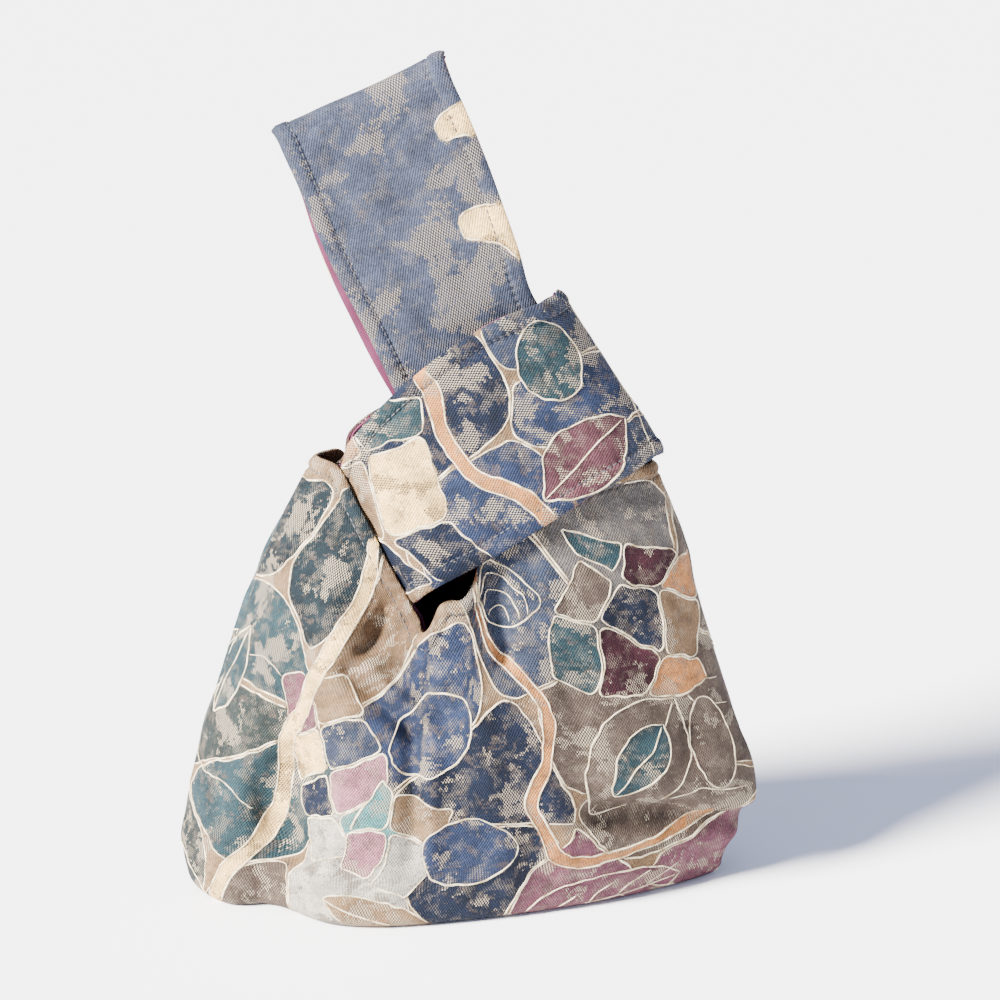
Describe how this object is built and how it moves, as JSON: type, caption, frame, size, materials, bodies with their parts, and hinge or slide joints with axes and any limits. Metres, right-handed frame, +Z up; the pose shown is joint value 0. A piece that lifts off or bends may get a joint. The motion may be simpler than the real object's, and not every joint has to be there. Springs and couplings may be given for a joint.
{
  "type": "knot bag",
  "caption": "Lined cloth knot bag with a boxed base, closed by its long handle passed through its short one, standing upright with the long loop raised to carry or hang it.",
  "frame": {"origin": "middle of the bag's box, on the surface that it stands on", "axes": "+Z up, -Y towards the front that shows the neckline, +X towards the side that the long handle rises from"},
  "size_m": [0.2522, 0.1132, 0.3605],
  "materials": {
    "tapestry": "woven jacquard tapestry, matte with raised outlines",
    "handle_tapestry": "woven jacquard tapestry, grey blue with taupe patches",
    "lining": "plain woven lining, matte"
  },
  "bodies": {
    "root": {"outer_shell": "tapestry", "lining": "lining", "short_handle": "tapestry", "short_handle_lining": "lining", "long_handle": "handle_tapestry", "long_handle_lining": "lining"}
  },
  "joints": []
}
